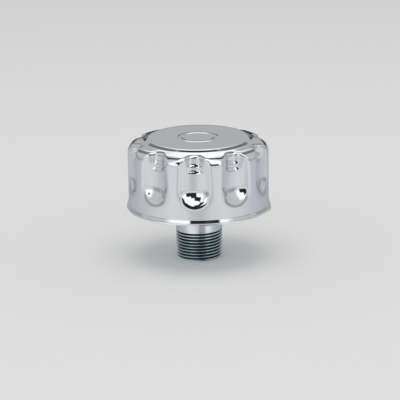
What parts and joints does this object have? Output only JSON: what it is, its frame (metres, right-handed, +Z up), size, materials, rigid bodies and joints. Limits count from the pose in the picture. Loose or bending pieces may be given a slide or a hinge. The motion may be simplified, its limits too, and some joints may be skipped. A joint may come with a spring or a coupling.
{
  "type": "crankcase breather filter",
  "caption": "Breather filter with a fluted chrome cap, a spring-held pleated element inside and a hollow spigot with a tapered pipe thread.",
  "frame": {"origin": "on the axis, at the end face of the spigot's thread, where the part stands", "axes": "+Z up the axis from the thread to the disc on top of the cap; -Y through the middle of a flute"},
  "size_m": [0.0844, 0.0824, 0.071],
  "materials": {
    "chrome_cap": "bright chrome plate, satin on the disc",
    "zinc_spigot": "bright zinc plate with a faint blue cast, turned",
    "zinc_pan": "bright zinc plate, pressed",
    "zinc_small": "bright zinc plate",
    "tinned_sheet": "tinned sheet, satin",
    "fibre": "pressed fibre, matt",
    "nitrile": "black nitrile, matt",
    "filter_paper": "resin-treated cellulose, matt",
    "potting": "cured plastisol, matt",
    "knitted_wire": "knitted stainless wire",
    "spring_wire": "drawn spring wire, oiled"
  },
  "bodies": {
    "root": {"cap_shell": "chrome_cap", "base_pan": "zinc_pan", "threaded_spigot": "zinc_spigot", "spigot_gasket": "fibre", "backing_washer": "zinc_small", "element_seat_ring": "nitrile", "lower_end_plate": "tinned_sheet", "upper_end_plate": "tinned_sheet", "pleated_media": "filter_paper", "core_tube": "tinned_sheet", "outer_screen": "tinned_sheet", "lower_potting": "potting", "upper_potting": "potting", "lower_grid": "zinc_small", "upper_grid": "zinc_small", "splash_baffle": "zinc_small", "baffle_stud": "zinc_small", "mesh_pad": "knitted_wire", "pad_clip": "spring_wire", "spring_cup": "zinc_small", "hold_down_spring": "spring_wire"}
  },
  "joints": []
}
